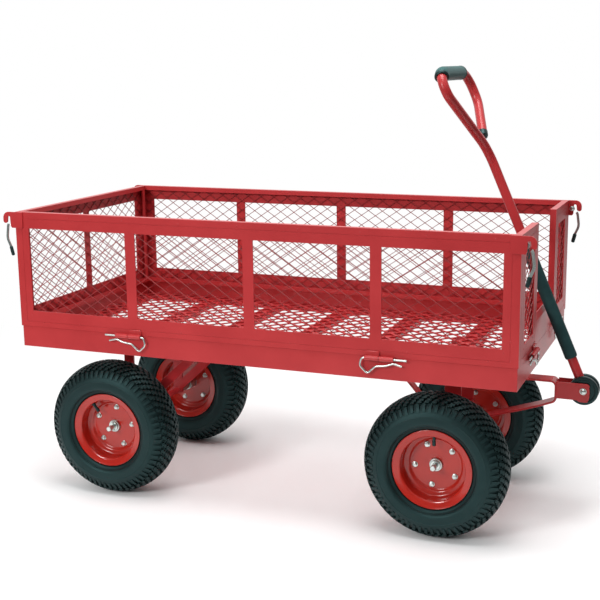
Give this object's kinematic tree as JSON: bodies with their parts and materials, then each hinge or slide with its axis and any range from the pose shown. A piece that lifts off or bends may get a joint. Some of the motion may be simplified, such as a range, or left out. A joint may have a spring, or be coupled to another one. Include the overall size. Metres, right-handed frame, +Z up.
{
  "type": "garden cart",
  "caption": "Four-wheeled garden cart with a mesh floor and folding mesh sides, pneumatic tyres, a steered front axle and a pull handle with a hand loop",
  "frame": {"origin": "on the ground, under the centre of the overall box", "axes": "+X to the front (drawbar and handle), +Y to the cart's left, +Z up"},
  "size_m": [1.386, 0.6382, 1.0496],
  "materials": {
    "red_paint": "powder coat, semi-gloss",
    "rim_paint": "powder coat, gloss",
    "zinc_plate": "bright zinc plate",
    "tyre_rubber": "matt, moulded tread",
    "grip_rubber": "satin",
    "foam": "matt foam",
    "black_plastic": "satin"
  },
  "bodies": {
    "deck": {"deck_frame": "red_paint", "cross_member_1": "red_paint", "cross_member_2": "red_paint", "cross_member_3": "red_paint", "cross_member_4": "red_paint", "cross_member_5": "red_paint", "floor_mesh": "red_paint", "handle_rest_plate": "red_paint", "hinge_clip_front_left": "zinc_plate", "hinge_clip_front_right": "zinc_plate", "hinge_clip_rear_left": "zinc_plate", "hinge_clip_rear_right": "zinc_plate", "hinge_clip_rear_gate_left": "zinc_plate", "hinge_clip_rear_gate_right": "zinc_plate", "hinge_clip_front_gate_left": "zinc_plate", "hinge_clip_front_gate_right": "zinc_plate", "rear_axle": "red_paint", "front_axle_mount": "red_paint", "front_brace": "red_paint", "kingpin": "zinc_plate"},
    "side_left": {"side_frame_left": "red_paint", "side_mesh_left": "red_paint", "latch_bolt_front_left": "zinc_plate", "latch_bolt_rear_left": "zinc_plate"},
    "latch_front_left": {"latch_lever_front_left": "zinc_plate"},
    "latch_rear_left": {"latch_lever_rear_left": "zinc_plate"},
    "side_right": {"side_frame_right": "red_paint", "side_mesh_right": "red_paint", "latch_bolt_front_right": "zinc_plate", "latch_bolt_rear_right": "zinc_plate"},
    "latch_front_right": {"latch_lever_front_right": "zinc_plate"},
    "latch_rear_right": {"latch_lever_rear_right": "zinc_plate"},
    "rear_gate": {"rear_gate_frame": "red_paint", "rear_gate_mesh": "red_paint"},
    "front_gate_left": {"front_gate_left_frame": "red_paint", "front_gate_left_mesh": "red_paint"},
    "front_gate_right": {"front_gate_right_frame": "red_paint", "front_gate_right_mesh": "red_paint"},
    "front_axle": {"front_axle": "red_paint", "drawbar": "red_paint", "handle_pivot_bolt": "zinc_plate"},
    "wheel_front_left": {"tyre_front_left": "tyre_rubber", "rim_front_left": "rim_paint", "wheel_hub_front_left": "zinc_plate"},
    "wheel_front_right": {"tyre_front_right": "tyre_rubber", "rim_front_right": "rim_paint", "wheel_hub_front_right": "zinc_plate"},
    "wheel_rear_left": {"tyre_rear_left": "tyre_rubber", "rim_rear_left": "rim_paint", "wheel_hub_rear_left": "zinc_plate"},
    "wheel_rear_right": {"tyre_rear_right": "tyre_rubber", "rim_rear_right": "rim_paint", "wheel_hub_rear_right": "zinc_plate"},
    "handle": {"handle_tube": "red_paint", "handle_grip": "grip_rubber", "handle_plug": "grip_rubber", "foam_sleeve": "foam", "handle_hub": "black_plastic"}
  },
  "joints": [
    {"name": "steer", "type": "hinge", "parent": "deck", "child": "front_axle", "pos_m": [0.364, 0, 0.3405], "axis": [0, 0, 1], "range_deg": [-11, 11]},
    {"name": "wheel_front_left_spin", "type": "hinge", "parent": "front_axle", "child": "wheel_front_left", "pos_m": [0.364, 0.208, 0.1685], "axis": [0, 1, 0], "continuous": true},
    {"name": "wheel_front_right_spin", "type": "hinge", "parent": "front_axle", "child": "wheel_front_right", "pos_m": [0.364, -0.208, 0.1685], "axis": [0, 1, 0], "continuous": true},
    {"name": "wheel_rear_left_spin", "type": "hinge", "parent": "deck", "child": "wheel_rear_left", "pos_m": [-0.47, 0.208, 0.1685], "axis": [0, 1, 0], "continuous": true},
    {"name": "wheel_rear_right_spin", "type": "hinge", "parent": "deck", "child": "wheel_rear_right", "pos_m": [-0.47, -0.208, 0.1685], "axis": [0, 1, 0], "continuous": true},
    {"name": "handle_pitch", "type": "hinge", "parent": "front_axle", "child": "handle", "pos_m": [0.659, 0, 0.314], "axis": [0, 1, 0], "range_deg": [0, 130]},
    {"name": "side_left_fold", "type": "hinge", "parent": "deck", "child": "side_left", "pos_m": [-0.049, 0.3135, 0.432], "axis": [-1, 0, 0], "range_deg": [0, 180]},
    {"name": "side_right_fold", "type": "hinge", "parent": "deck", "child": "side_right", "pos_m": [-0.049, -0.3135, 0.432], "axis": [1, 0, 0], "range_deg": [0, 180]},
    {"name": "rear_gate_fold", "type": "hinge", "parent": "deck", "child": "rear_gate", "pos_m": [-0.6675, 0, 0.432], "axis": [0, -1, 0], "range_deg": [0, 180]},
    {"name": "front_gate_left_fold", "type": "hinge", "parent": "deck", "child": "front_gate_left", "pos_m": [0.5695, 0.2025, 0.432], "axis": [0, 1, 0], "range_deg": [0, 90]},
    {"name": "front_gate_right_fold", "type": "hinge", "parent": "deck", "child": "front_gate_right", "pos_m": [0.5695, -0.2025, 0.432], "axis": [0, 1, 0], "range_deg": [0, 90]},
    {"name": "latch_front_left_swing", "type": "hinge", "parent": "side_left", "child": "latch_front_left", "pos_m": [0.572, 0.307, 0.6943], "axis": [0, -1, 0], "range_deg": [0, 100]},
    {"name": "latch_front_right_swing", "type": "hinge", "parent": "side_right", "child": "latch_front_right", "pos_m": [0.572, -0.307, 0.6943], "axis": [0, -1, 0], "range_deg": [0, 100]},
    {"name": "latch_rear_left_swing", "type": "hinge", "parent": "side_left", "child": "latch_rear_left", "pos_m": [-0.67, 0.307, 0.6943], "axis": [0, 1, 0], "range_deg": [0, 100]},
    {"name": "latch_rear_right_swing", "type": "hinge", "parent": "side_right", "child": "latch_rear_right", "pos_m": [-0.67, -0.307, 0.6943], "axis": [0, 1, 0], "range_deg": [0, 100]}
  ]
}
